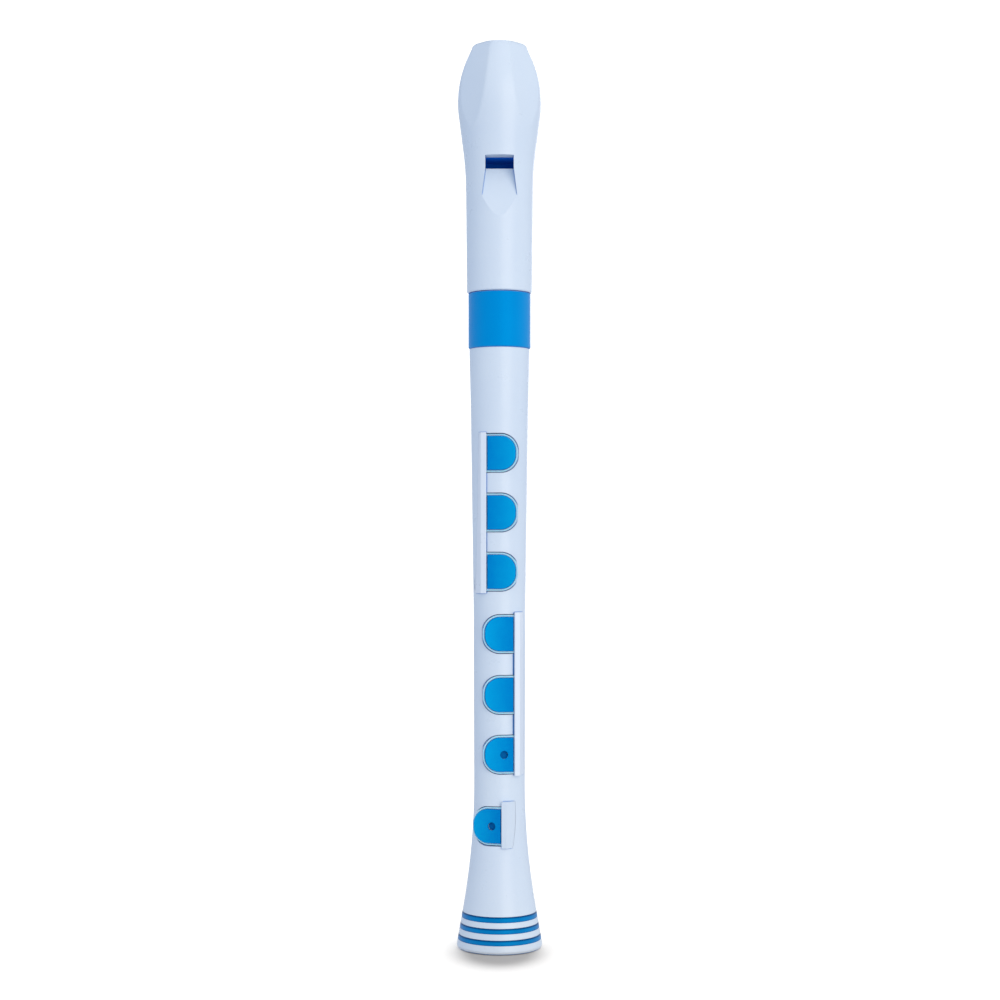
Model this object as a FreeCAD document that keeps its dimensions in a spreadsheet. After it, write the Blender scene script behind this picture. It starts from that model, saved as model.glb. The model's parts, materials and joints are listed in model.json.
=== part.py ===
import FreeCAD, Part
import math
import os

import Sketcher

# A soprano recorder in millimetres, standing on its foot.
# The origin is the centre of the foot's rim, +Z runs up the bore and the finger keys face -Y.
# The head joint twists and draws off the body's tenon, and eight silicone key flaps swing
# on hinge lines that run along the bore.

DOC = FreeCAD.newDocument("recorder")

DRIVING_DIMENSIONS = {
    # body tube, from the foot's rim up to the tenon
    "rim_radius": 15.35,
    "rim_round": 1.3,
    "flare_taper": 0.176,
    "flare_top": 13.6,
    "flare_arc_radius": 262.0,
    "waist_height": 58.0,
    "waist_radius": 9.1,
    "middle_height": 122.0,
    "middle_radius": 9.3,
    "upper_height": 190.0,
    "upper_radius": 10.25,
    "shoulder_height": 215.7,
    "shoulder_radius": 10.85,
    "tenon_base": 235.0,
    "tenon_top": 256.5,
    "tenon_radius": 9.0,
    # bore of the body tube
    "foot_bore_radius": 5.5,
    "foot_bore_top": 26.0,
    "bore_narrow_radius": 5.0,
    "bore_narrow_top": 60.0,
    "bore_wide_radius": 6.5,
    "bore_wide_base": 215.0,
    # hollow under the foot, with its ribs
    "foot_wall": 2.4,
    "foot_hollow_height": 20.0,
    "foot_tube_radius": 7.4,
    "foot_tube_lift": 0.6,
    "rib_width": 1.2,
    "rib_count": 4,
    # coloured rings round the foot
    "ring_depth": 0.8,
    "ring_crown_radius": 5.0,
    "ring_1_low": 11.2,
    "ring_1_high": 13.2,
    "ring_2_low": 7.3,
    "ring_2_high": 9.2,
    "ring_3_low": 3.3,
    "ring_3_high": 5.2,
    # grip band at the joint
    "band_radius": 11.2,
    "band_seat_radius": 9.9,
    "band_top": 235.6,
    # O-rings of the tenon
    "seal_lower_height": 241.0,
    "seal_upper_height": 251.0,
    "seal_groove_width": 1.9,
    "seal_groove_radius": 7.8,
    "seal_centre_radius": 8.44,
    "seal_section_radius": 0.62,
    # head joint
    "head_base": 235.7,
    "head_base_radius": 11.7,
    "head_neck_height": 272.0,
    "head_neck_radius": 12.05,
    "head_flare_radius": 116.0,
    "head_rise_height": 289.0,
    "head_rise_radius": 13.3,
    "head_bulge_height": 298.9,
    "head_bulge_radius": 14.59,
    "head_bulge_arc": 38.0,
    "head_crown_height": 321.2,
    "head_crown_radius": 11.15,
    "tip_height": 325.0,
    "tip_radius": 9.6,
    "tip_round": 1.4,
    "socket_radius": 9.1,
    "socket_top": 257.5,
    "head_bore_radius": 6.6,
    "cheek_azimuth": 46.0,
    "cheek_distance": 14.0,
    "cheek_height": 300.0,
    "cheek_curve_radius": 58.0,
    "beak_radius": 69.0,
    "beak_back": 1.5,
    # windway, block, window and labium
    "block_radius": 7.7,
    "block_flat": 5.6,
    "block_skirt_base": 268.0,
    "block_skirt_front": 2.0,
    "windway_height": 1.2,
    "windway_tip_width": 7.0,
    "window_width": 10.1,
    "window_base": 279.6,
    "window_top": 283.45,
    "labium_edge": 6.1,
    "ramp_curve_radius": 60.0,
    "ramp_end": 12.3,
    "ramp_length": 20.1,
    "ramp_splay": 0.12,
    # key flaps, measured outwards from the hinge line and from the recess floor
    "flap_hinge_inset": 0.6,
    "flap_hinge_lift": 0.9,
    "flap_open_angle": 8.0,
    "flange_length": 11.9,
    "flange_half_height": 6.8,
    "flange_corner": 6.1,
    "flange_thickness": 0.6,
    "flap_bead_radius": 0.45,
    "flap_bead_gap": 0.05,
    "pad_gap": 0.45,
    "pad_length": 11.35,
    "pad_half_height": 6.1,
    "pad_corner": 5.4,
    "pad_thickness": 0.9,
    "pad_edge_round": 0.4,
    "seat_radius": 4.0,
    "seat_gap": 0.08,
    "plug_clearance": 0.5,
    "plug_length": 0.6,
    "dimple_offset": 1.45,
    "dimple_radius": 1.45,
    "dimple_depth": 1.2,
    "recess_half_height": 7.1,
    "recess_length": 12.2,
    "recess_corner": 6.4,
    # key covers and the silicone strips under them
    "cover_edge_height": 2.5,
    "cover_edge_bevel": 0.3,
    "cover_land_width": 2.0,
    "cover_land_drop": 0.6,
    "strip_height": 1.45,
    "strip_width": 1.9,
    "upper_strip_show": 0.0,
    "lower_strip_show": 0.25,
    "foot_strip_show": 0.25,
    "thumb_strip_show": 0.0,
    "strip_end_wall": 0.5,
    "strip_key_gap": 0.3,
    # upper keys, hinged at the left seen from the front
    "upper_edge": 4.7,
    "upper_floor": 7.2,
    "upper_cover_low": 127.8,
    "upper_cover_high": 185.2,
    "upper_skirt": 9.2,
    "upper_skirt_depth": 2.2,
    "key_1_height": 177.8,
    "key_2_height": 156.6,
    "key_3_height": 135.5,
    # lower keys, hinged at the right
    "lower_edge": 5.3,
    "lower_floor": 6.8,
    "lower_cover_low": 62.8,
    "lower_cover_high": 121.0,
    "lower_skirt": 8.9,
    "lower_skirt_depth": 2.0,
    "key_4_height": 113.3,
    "key_5_height": 91.6,
    "key_6_height": 70.3,
    # foot key, turned towards the little finger
    "foot_azimuth": -27.0,
    "foot_skirt": 8.4,
    "foot_skirt_base": 9.07,
    "foot_skirt_depth": 3.4,
    "foot_cover_low": 37.1,
    "foot_cover_high": 53.6,
    "key_7_height": 44.8,
    # thumb key at the back
    "thumb_floor": 7.4,
    "thumb_cover_low": 180.8,
    "thumb_cover_high": 197.2,
    "thumb_key_height": 189.0,
    "thumb_vent_radius": 0.9,
    # tone holes under the flaps
    "hole_1_radius": 2.5,
    "hole_2_radius": 2.8,
    "hole_3_radius": 2.5,
    "hole_4_radius": 2.8,
    "hole_5_radius": 2.9,
    "hole_6_radius": 3.0,
    "hole_7_radius": 3.0,
    "thumb_hole_radius": 2.8,
    # thumb rest at the back
    "rest_low": 94.0,
    "rest_high": 116.0,
    "rest_width": 13.0,
    "rest_corner": 4.0,
    "rest_plate_radius": 10.7,
    "rest_reach": 15.0,
    "rest_hook_width": 9.0,
    "rest_hook_thickness": 1.8,
    "rest_hook_radius": 5.0,
    "rest_hook_corner": 1.6,
}

SHEET = DOC.addObject("Spreadsheet::Sheet", "dims")
for row, (alias, value) in enumerate(DRIVING_DIMENSIONS.items(), start=1):
    SHEET.set(f"A{row}", alias.replace("_", " "))
    SHEET.set(f"B{row}", str(value))
    SHEET.setAlias(f"B{row}", alias)
DOC.recompute()


class Size:
    """A number together with the sheet expression that gives it."""

    def __init__(self, value, text):
        self.value = value
        self.text = text

    def __add__(self, other):
        other = as_size(other)
        return Size(self.value + other.value, f"({self.text} + {other.text})")

    def __sub__(self, other):
        other = as_size(other)
        return Size(self.value - other.value, f"({self.text} - {other.text})")

    def __mul__(self, other):
        other = as_size(other)
        return Size(self.value * other.value, f"({self.text} * {other.text})")

    def __truediv__(self, other):
        other = as_size(other)
        return Size(self.value / other.value, f"({self.text} / {other.text})")

    def __radd__(self, other):
        return as_size(other) + self

    def __rsub__(self, other):
        return as_size(other) - self

    def __rmul__(self, other):
        return as_size(other) * self

    def __neg__(self):
        return Size(-self.value, f"(-1 * {self.text})")


def as_size(number):
    return number if isinstance(number, Size) else Size(float(number), repr(float(number)))


def dim(alias):
    """The driving dimension of that name."""
    return Size(float(SHEET.get(alias)), f"dims.{alias}")


def cosine(angle):
    return Size(math.cos(math.radians(angle.value)), f"cos({angle.text} * 1 deg)")


def sine(angle):
    return Size(math.sin(math.radians(angle.value)), f"sin({angle.text} * 1 deg)")


def bind(thing, path, size):
    """Drives one property of a document object from the sheet."""
    thing.setExpression(path, as_size(size).text)


def place(thing, at, rotation=None):
    """Sets an object's Placement: turned by rotation, then moved to the bound point."""
    point = [as_size(part) for part in at]
    rotation = rotation or FreeCAD.Rotation()
    thing.Placement = FreeCAD.Placement(FreeCAD.Vector(*[part.value for part in point]), rotation)
    for letter, part in zip("xyz", point):
        bind(thing, f".Placement.Base.{letter}", part)
    return thing


# ---- sketches and PartDesign features ----


def new_body(name):
    body = DOC.addObject("PartDesign::Body", name)
    body.Label = name
    return body


def new_sketch(body, plane_role, lift=0.0):
    """A sketch on one of the body's origin planes, lifted along the plane's normal."""
    sketch = body.newObject("Sketcher::SketchObject", f"{body.Name}_sketch")
    plane = next(item for item in body.Origin.OriginFeatures if item.Role == plane_role)
    sketch.AttachmentSupport = [(plane, "")]
    sketch.MapMode = "FlatFace"
    bind(sketch, ".AttachmentOffset.Base.z", lift)
    return sketch


def arc_between(start, end, radius, counterclockwise):
    """The short arc from start to end, and the vertex ids of its start and end."""
    chord = end - start
    left = FreeCAD.Vector(-chord.y, chord.x, 0).normalize()
    reach = math.sqrt(radius**2 - (chord.Length / 2) ** 2)
    centre = start + chord / 2 + left * (reach if counterclockwise else -reach)
    first, last = (start, end) if counterclockwise else (end, start)
    low = math.atan2(first.y - centre.y, first.x - centre.x)
    high = math.atan2(last.y - centre.y, last.x - centre.x)
    if high < low:
        high += 2 * math.pi
    circle = Part.Circle(centre, FreeCAD.Vector(0, 0, 1), radius)
    return Part.ArcOfCircle(circle, low, high), ((1, 2) if counterclockwise else (2, 1))


def fix_coordinate(sketch, kind, axis_id, side, vertex, size):
    """Ties one coordinate of a sketch vertex to the sheet, or to the axis where it is zero."""
    if size.value == 0:
        sketch.addConstraint(Sketcher.Constraint("PointOnObject", side, vertex, axis_id))
        return
    index = sketch.addConstraint(Sketcher.Constraint(kind, -1, 1, side, vertex, size.value))
    bind(sketch, f"Constraints[{index}]", size)


def draw_outline(sketch, corners, arcs=None):
    """Draws a closed outline through the corners.

    arcs gives, for the number of a side, its radius and whether it turns counterclockwise.
    """
    arcs = arcs or {}
    corners = [(as_size(across), as_size(along)) for across, along in corners]
    points = [FreeCAD.Vector(across.value, along.value, 0) for across, along in corners]
    ends = []
    for side, start in enumerate(points):
        end = points[(side + 1) % len(points)]
        if side in arcs:
            radius, counterclockwise = arcs[side]
            shape, ids = arc_between(start, end, as_size(radius).value, counterclockwise)
        else:
            shape, ids = Part.LineSegment(start, end), (1, 2)
        sketch.addGeometry(shape, False)
        ends.append(ids)
    for side, (across, along) in enumerate(corners):
        before = side - 1 if side else len(corners) - 1
        sketch.addConstraint(
            Sketcher.Constraint("Coincident", before, ends[before][1], side, ends[side][0])
        )
        fix_coordinate(sketch, "DistanceX", -2, side, ends[side][0], across)
        fix_coordinate(sketch, "DistanceY", -1, side, ends[side][0], along)
    for side, (radius, _) in arcs.items():
        index = sketch.addConstraint(Sketcher.Constraint("Radius", side, as_size(radius).value))
        bind(sketch, f"Constraints[{index}]", radius)
    return sketch


def draw_circle(sketch, across, along, radius):
    across, along, radius = as_size(across), as_size(along), as_size(radius)
    centre = FreeCAD.Vector(across.value, along.value, 0)
    sketch.addGeometry(Part.Circle(centre, FreeCAD.Vector(0, 0, 1), radius.value), False)
    fix_coordinate(sketch, "DistanceX", -2, 0, 3, across)
    fix_coordinate(sketch, "DistanceY", -1, 0, 3, along)
    index = sketch.addConstraint(Sketcher.Constraint("Radius", 0, radius.value))
    bind(sketch, f"Constraints[{index}]", radius)
    return sketch


def add_revolution(body, sketch):
    """Turns the sketch through a full circle about the body's Z axis."""
    feature = body.newObject("PartDesign::Revolution", f"{body.Name}_revolution")
    feature.Profile = sketch
    feature.ReferenceAxis = (sketch, ["V_Axis"])
    feature.Angle = 360.0
    sketch.Visibility = False
    return feature


def add_pad(body, sketch, length, midplane=False, downwards=False):
    feature = body.newObject("PartDesign::Pad", f"{body.Name}_pad")
    feature.Profile = sketch
    feature.Midplane = midplane
    feature.Reversed = downwards
    bind(feature, "Length", length)
    return feature


def turned(name, corners, arcs=None):
    """A body of revolution from an outline of (radius, height) corners."""
    body = new_body(name)
    add_revolution(body, draw_outline(new_sketch(body, "XZ_Plane"), corners, arcs))
    return body


# ---- primitives and booleans ----


def box(name, corner, span, rotation=None):
    """A box from its low corner; span is its size along its own X, Y and Z."""
    solid = DOC.addObject("Part::Box", name)
    for side, size in zip(("Length", "Width", "Height"), span):
        bind(solid, side, size)
    return place(solid, corner, rotation)


def cylinder(name, radius, height, base, rotation=None):
    solid = DOC.addObject("Part::Cylinder", name)
    bind(solid, "Radius", radius)
    bind(solid, "Height", height)
    return place(solid, base, rotation)


def fuse(name, solids):
    whole = DOC.addObject("Part::MultiFuse", name)
    whole.Shapes = solids
    return whole


def cut(name, base, tool):
    left = DOC.addObject("Part::Cut", name)
    left.Base = base
    left.Tool = tool
    return left


# ---- body tube ----


def flare_radius(height):
    """Outer radius of the foot's straight cone at a height."""
    return dim("rim_radius") - dim("flare_taper") * (height - dim("rim_round"))


def ring_heights(number):
    return dim(f"ring_{number}_low"), dim(f"ring_{number}_high")


def seal_groove(height):
    """Corners of one O-ring groove on the tenon, from the top down."""
    low = height - dim("seal_groove_width") / 2
    high = height + dim("seal_groove_width") / 2
    tenon, floor = dim("tenon_radius"), dim("seal_groove_radius")
    return [(tenon, high), (floor, high), (floor, low), (tenon, low)]


def ring_groove(number):
    """Corners of one ring groove on the foot, from the top down."""
    low, high = ring_heights(number)
    depth = dim("ring_depth")
    return [
        (flare_radius(high), high),
        (flare_radius(high) - depth, high),
        (flare_radius(low) - depth, low),
        (flare_radius(low), low),
    ]


def make_tube_blank():
    """The turned body with its bore, grooves and ribbed foot, before any key is cut into it."""
    chamfer = 0.6
    hollow_roof = dim("foot_hollow_height")
    bore_side = [
        (dim("foot_tube_radius"), dim("foot_tube_lift")),
        (dim("foot_bore_radius") + chamfer, dim("foot_tube_lift")),
        (dim("foot_bore_radius"), dim("foot_tube_lift") + chamfer),
        (dim("foot_bore_radius"), dim("foot_bore_top")),
        (dim("bore_narrow_radius"), dim("foot_bore_top") + 4),
        (dim("bore_narrow_radius"), dim("bore_narrow_top")),
        (dim("bore_wide_radius"), dim("bore_wide_base")),
        (dim("bore_wide_radius"), dim("tenon_top") - chamfer),
        (dim("bore_wide_radius") + chamfer, dim("tenon_top")),
        (dim("tenon_radius") - chamfer, dim("tenon_top")),
        (dim("tenon_radius"), dim("tenon_top") - chamfer),
    ]
    tenon_side = seal_groove(dim("seal_upper_height")) + seal_groove(dim("seal_lower_height"))
    joint = [
        (dim("tenon_radius"), dim("tenon_base")),
        (dim("band_seat_radius"), dim("tenon_base")),
        (dim("band_seat_radius"), dim("shoulder_height")),
        (dim("shoulder_radius") - 0.25, dim("shoulder_height")),
        (dim("shoulder_radius"), dim("shoulder_height") - 0.25),
        (dim("upper_radius"), dim("upper_height")),
        (dim("middle_radius"), dim("middle_height")),
        (dim("waist_radius"), dim("waist_height")),
        (flare_radius(dim("flare_top")), dim("flare_top")),
    ]
    flare = ring_groove(1) + ring_groove(2) + ring_groove(3)
    rim = [
        (dim("rim_radius"), dim("rim_round")),
        (dim("rim_radius") - dim("rim_round"), 0),
        (flare_radius(dim("rim_round")) - dim("foot_wall"), 0),
        (flare_radius(hollow_roof) - dim("foot_wall"), hollow_roof),
        (dim("foot_tube_radius"), hollow_roof),
    ]
    corners = bore_side + tenon_side + joint + flare + rim
    waist_side = corners.index(joint[-2])
    rim_side = corners.index(rim[0])
    arcs = {
        waist_side: (dim("flare_arc_radius"), True),
        rim_side: (dim("rim_round"), False),
    }
    blank = turned("tube_blank", corners, arcs)
    rib = draw_outline(
        new_sketch(blank, "XZ_Plane"),
        [
            (dim("foot_tube_radius") - 0.3, 4),
            (flare_radius(4) - dim("foot_wall") + 0.3, 4),
            (flare_radius(hollow_roof) - dim("foot_wall") + 0.3, hollow_roof + 0.3),
            (dim("foot_tube_radius") - 0.3, hollow_roof + 0.3),
        ],
    )
    first_rib = add_pad(blank, rib, dim("rib_width"), midplane=True)
    ribs = blank.newObject("PartDesign::PolarPattern", "ribs")
    ribs.Originals = [first_rib]
    ribs.Axis = (rib, ["V_Axis"])
    ribs.Angle = 360.0
    bind(ribs, "Occurrences", dim("rib_count"))
    blank.Tip = ribs
    return blank


def make_foot_ring(number):
    """One ring, seated in its groove and slightly crowned outside."""
    low, high = ring_heights(number)
    depth = dim("ring_depth")
    corners = [
        (flare_radius(low) - depth, low),
        (flare_radius(low), low),
        (flare_radius(high), high),
        (flare_radius(high) - depth, high),
    ]
    return turned(f"foot_ring_{number}", corners, {1: (dim("ring_crown_radius"), True)})


def make_grip_band():
    """A sleeve over the top of the body, with a lip over its shoulder for the head to meet."""
    bevel = 0.35
    outer, seat = dim("band_radius"), dim("band_seat_radius")
    corners = [
        (seat, dim("shoulder_height")),
        (outer - bevel, dim("shoulder_height")),
        (outer, dim("shoulder_height") + bevel),
        (outer, dim("band_top") - bevel),
        (outer - bevel, dim("band_top")),
        (dim("tenon_radius"), dim("band_top")),
        (dim("tenon_radius"), dim("tenon_base")),
        (seat, dim("tenon_base")),
    ]
    return turned("grip_band", corners)


def make_seal(name, height):
    ring = DOC.addObject("Part::Torus", name)
    bind(ring, "Radius1", dim("seal_centre_radius"))
    bind(ring, "Radius2", dim("seal_section_radius"))
    return place(ring, (0, 0, height))


# ---- keys ----


class KeyRow:
    """One row of keys on a common cover.

    Its frame has x across the tube from the hinge to the free edge, y along the tube and
    z straight out of the recess floor. side is 1 where the hinge is at the left seen from
    outside, and -1 where it is at the right.
    """

    def __init__(self, name, azimuth, side, edge, floor, skirt, cover, keys):
        self.name = name
        self.azimuth = as_size(azimuth)
        self.side = side
        self.edge = dim(edge)
        self.floor = dim(floor)
        self.strip_show = dim(f"{name}_strip_show")
        self.skirt = dim(skirt)
        self.skirt_base = dim("foot_skirt_base") if name == "foot" else None
        self.skirt_depth = dim(f"{skirt}_depth")
        self.low, self.high = dim(f"{cover}_low"), dim(f"{cover}_high")
        self.keys = keys

    def rotation(self, opening=0.0):
        """The row frame's rotation, with the flaps' swing about the hinge line added."""
        turn = FreeCAD.Rotation(FreeCAD.Vector(0, 0, 1), self.azimuth.value)
        stand = FreeCAD.Rotation(
            FreeCAD.Vector(self.side, 0, 0),
            FreeCAD.Vector(0, 0, self.side),
            FreeCAD.Vector(0, -1, 0),
            "ZXY",
        )
        swing = FreeCAD.Rotation(FreeCAD.Vector(0, 1, 0), -opening)
        return turn.multiply(stand).multiply(swing)

    def point(self, across, out, height):
        """The point of the model at a place in the row's frame."""
        across, out = as_size(across) * self.side, as_size(out)
        cosa, sina = cosine(self.azimuth), sine(self.azimuth)
        return (cosa * across + sina * out, sina * across - cosa * out, height)


class Key:
    """One key: its name, its height on the tube and its tone hole.

    A dimple is a blind round mark in the pad, and a vent a pinhole right through the flap.
    """

    def __init__(self, name, height, hole, dimple=None, vent=None):
        self.name = name
        self.height = dim(height)
        self.hole = dim(hole)
        self.dimple = dim(dimple) if dimple else None
        self.vent = dim(vent) if vent else None


def free_end_outline(sketch, start, end, half_height, corner):
    """A D: straight where it meets the cover, with two large round corners at its free end."""
    half_height, corner = as_size(half_height), as_size(corner)
    corners = [
        (start, -half_height),
        (end - corner, -half_height),
        (end, corner - half_height),
        (end, half_height - corner),
        (end - corner, half_height),
        (start, half_height),
    ]
    return draw_outline(sketch, corners, {1: (corner, True), 3: (corner, True)})


def round_top(body, radius):
    """Rounds the edges of the body's highest flat face."""
    DOC.recompute()
    base = body.Tip
    top = base.Shape.BoundBox.ZMax
    names = [
        f"Edge{number}"
        for number, edge in enumerate(base.Shape.Edges, start=1)
        if edge.BoundBox.ZMin > top - 1e-4 and not is_full_circle(edge)
    ]
    fillet = body.newObject("PartDesign::Fillet", f"{body.Name}_round")
    fillet.Base = (base, names)
    bind(fillet, "Radius", radius)
    body.Tip = fillet


def is_full_circle(edge):
    return len(edge.Vertexes) == 1


def make_flap(key_row, key):
    """A silicone flap: hinge bead, thin flange, raised finger pad and the seat beneath it."""
    flap = new_body(key.name)
    half = dim("flange_thickness") / 2
    flange = free_end_outline(
        new_sketch(flap, "XY_Plane"),
        0,
        dim("flange_length"),
        dim("flange_half_height"),
        dim("flange_corner"),
    )
    add_pad(flap, flange, dim("flange_thickness"), midplane=True)
    bead = draw_circle(new_sketch(flap, "XZ_Plane"), 0, 0, dim("flap_bead_radius"))
    add_pad(flap, bead, dim("flange_half_height") * 2, midplane=True)
    hole_across = key_row.edge + dim("flap_hinge_inset")
    seat_depth = dim("flap_hinge_lift") - half - dim("seat_gap")
    seat = draw_circle(new_sketch(flap, "XY_Plane", -half), hole_across, 0, dim("seat_radius"))
    add_pad(flap, seat, seat_depth, downwards=True)
    if not key.vent:
        plug_radius = key.hole - dim("plug_clearance")
        plug = draw_circle(new_sketch(flap, "XY_Plane", -half), hole_across, 0, plug_radius)
        add_pad(flap, plug, seat_depth + dim("plug_length"), downwards=True)
    pad = free_end_outline(
        new_sketch(flap, "XY_Plane", half),
        dim("flap_hinge_inset") + dim("pad_gap"),
        dim("pad_length"),
        dim("pad_half_height"),
        dim("pad_corner"),
    )
    add_pad(flap, pad, dim("pad_thickness"))
    round_top(flap, dim("pad_edge_round"))
    if key.dimple or key.vent:
        top = half + dim("pad_thickness")
        mark_across = hole_across - dim("dimple_offset")
        radius = key.dimple or key.vent
        mouth = draw_circle(new_sketch(flap, "XY_Plane", top), mark_across, 0, radius)
        pocket = flap.newObject("PartDesign::Pocket", f"{flap.Name}_pocket")
        pocket.Profile = mouth
        if key.dimple:
            bind(pocket, "Length", dim("dimple_depth"))
        else:
            pocket.Type = "ThroughAll"
        flap.Tip = pocket
    hinge = key_row.point(
        -(key_row.edge + dim("flap_hinge_inset")),
        key_row.floor + dim("flap_hinge_lift"),
        key.height,
    )
    opening = dim("flap_open_angle").value
    return place(flap, hinge, key_row.rotation(opening))


def make_recess(key_row, key):
    """What one key takes out of the tube: the D-shaped recess and the tone hole."""
    recess = new_body(f"{key.name}_recess")
    hinge_line = -(key_row.edge + dim("flap_hinge_inset"))
    outline = free_end_outline(
        new_sketch(recess, "XY_Plane", key_row.floor),
        hinge_line,
        hinge_line + dim("recess_length"),
        dim("recess_half_height"),
        dim("recess_corner"),
    )
    add_pad(recess, outline, dim("rim_radius"))
    place(recess, (0, 0, key.height), key_row.rotation())
    hole = cylinder(
        f"{key.name}_tone_hole",
        key.hole,
        dim("rim_radius"),
        (0, 0, key.height),
        key_row.rotation(),
    )
    return [recess, hole]


def strip_box(key_row, name):
    """The straight channel that holds one row's silicone strip."""
    length = key_row.high - key_row.low - dim("strip_end_wall") * 2
    left = -(key_row.edge - key_row.strip_show) - dim("strip_width")
    start = key_row.low if key_row.side > 0 else key_row.high
    inset = dim("strip_end_wall") * key_row.side
    corner = key_row.point(left, key_row.floor, start + inset)
    span = (dim("strip_width"), length, dim("strip_height"))
    return box(name, corner, span, key_row.rotation())


def make_strip(key_row):
    """The silicone spine that one row's flaps are moulded on, notched round each hinge bead."""
    name = f"{key_row.name}_key_strip"
    notches = []
    for key in key_row.keys:
        half = dim("flange_half_height") + dim("strip_key_gap")
        hinge = -(key_row.edge + dim("flap_hinge_inset"))
        lift = key_row.floor + dim("flap_hinge_lift")
        near = key.height - half * key_row.side
        slab_corner = key_row.point(hinge, key_row.floor - 1, near)
        slab = box(f"{key.name}_notch", slab_corner, (5, half * 2, 5), key_row.rotation())
        along_tube = FreeCAD.Rotation(FreeCAD.Vector(1, 0, 0), -90)
        socket = cylinder(
            f"{key.name}_socket",
            dim("flap_bead_radius") + dim("flap_bead_gap"),
            half * 2,
            key_row.point(hinge, lift, near),
            key_row.rotation().multiply(along_tube),
        )
        notches += [slab, socket]
    bar = strip_box(key_row, f"{key_row.name}_strip_bar")
    return cut(name, bar, fuse(f"{name}_notches", notches))


def cover_section(prism, key_row, skirt, lift=0.0):
    """The section of a cover: a raised land at the flaps, sloping down onto the tube."""
    top = key_row.floor + dim("cover_edge_height")
    bevel = dim("cover_edge_bevel")
    edge = -key_row.edge
    return draw_outline(
        new_sketch(prism, "XZ_Plane", lift),
        [
            (edge, key_row.floor - 1.5),
            (edge, top - bevel),
            (edge - bevel, top),
            (edge - dim("cover_land_width"), top - dim("cover_land_drop")),
            (-skirt, key_row.skirt_depth),
            (edge, key_row.skirt_depth),
        ],
    )


def make_cover(key_row, tube_blank):
    """A white bar over one strip. The foot's cover spreads downwards with the flare."""
    prism = new_body(f"{key_row.name}_cover_prism")
    length = key_row.high - key_row.low
    if key_row.skirt_base is None:
        add_pad(prism, cover_section(prism, key_row, key_row.skirt), length, midplane=True)
    else:
        half = length / 2 * key_row.side
        spread = prism.newObject("PartDesign::AdditiveLoft", f"{key_row.name}_cover_spread")
        spread.Profile = cover_section(prism, key_row, key_row.skirt_base, half)
        spread.Sections = [cover_section(prism, key_row, key_row.skirt, -half)]
        spread.Ruled = True
    place(prism, (0, 0, (key_row.low + key_row.high) / 2), key_row.rotation())
    channel = strip_box(key_row, f"{key_row.name}_cover_channel")
    core = cylinder(
        f"{key_row.name}_cover_core",
        dim("bore_wide_radius") + 0.5,
        key_row.high - key_row.low,
        (0, 0, key_row.low),
    )
    tools = [tube_blank, core, channel]
    return cut(f"{key_row.name}_key_cover", prism, fuse(f"{key_row.name}_cover_tools", tools))


# ---- head joint ----


def make_head_blank():
    """The turned outside of the head joint, solid."""
    bevel = 0.4
    corners = [
        (0, dim("head_base")),
        (dim("head_base_radius") - bevel, dim("head_base")),
        (dim("head_base_radius"), dim("head_base") + bevel),
        (dim("head_neck_radius"), dim("head_neck_height")),
        (dim("head_rise_radius"), dim("head_rise_height")),
        (dim("head_bulge_radius"), dim("head_bulge_height")),
        (dim("head_crown_radius"), dim("head_crown_height")),
        (dim("tip_radius") + 0.5, dim("tip_height") - dim("tip_round")),
        (dim("tip_radius") - dim("tip_round") + 0.3, dim("tip_height")),
        (0, dim("tip_height")),
    ]
    arcs = {
        3: (dim("head_flare_radius"), False),
        5: (dim("head_bulge_arc"), True),
        7: (dim("tip_round") + 0.3, True),
    }
    return turned("head_blank", corners, arcs)


def make_cheek(side):
    """The air beside one cheek of the beak; side is 1 at the right, -1 at the left.

    The cheek is straight up to cheek_height and then curves in towards the tip.
    """
    azimuth, height = dim("cheek_azimuth"), dim("cheek_height")
    sina, cosa = sine(azimuth) * side, cosine(azimuth)
    facing = FreeCAD.Rotation(FreeCAD.Vector(0, 0, 1), azimuth.value * side - 90)
    lying = facing.multiply(FreeCAD.Rotation(FreeCAD.Vector(1, 0, 0), -90))
    name = "cheek_right" if side > 0 else "cheek_left"
    reach, below = 40.0, 15.0

    def point(out, along, level):
        out, along = as_size(out), as_size(along)
        return (out * sina + along * cosa, along * sina - out * cosa, level)

    low = point(0, -reach, height - below)
    slab = box(f"{name}_slab", low, (reach, reach * 2, below + reach), facing)
    straight = box(
        f"{name}_straight", low, (dim("cheek_distance"), reach * 2, below), facing
    )
    bend = dim("cheek_curve_radius")
    axis = point(dim("cheek_distance") - bend, -reach, height)
    curved = cylinder(f"{name}_curved", bend, reach * 2, axis, lying)
    return cut(name, slab, fuse(f"{name}_kept", [straight, curved]))


def make_beak_hollow(name):
    """The large cylinder that hollows the back of the beak."""
    sideways = FreeCAD.Rotation(FreeCAD.Vector(0, 1, 0), 90)
    centre = (-30, dim("beak_back") + dim("beak_radius"), dim("tip_height"))
    return cylinder(name, dim("beak_radius"), 60, centre, sideways)


def make_block_bore(name, height):
    """The D-shaped bore above the shoulder: a circle cut flat on the windway's side."""
    reach = dim("block_radius") * 2
    base = dim("block_skirt_base")
    round_part = cylinder(f"{name}_round", dim("block_radius"), height, (0, 0, base))
    front = (-dim("block_radius"), -dim("block_flat") - reach, base - 1)
    slab = box(f"{name}_front", front, (reach, reach, height + 2))
    return cut(name, round_part, slab)


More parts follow.
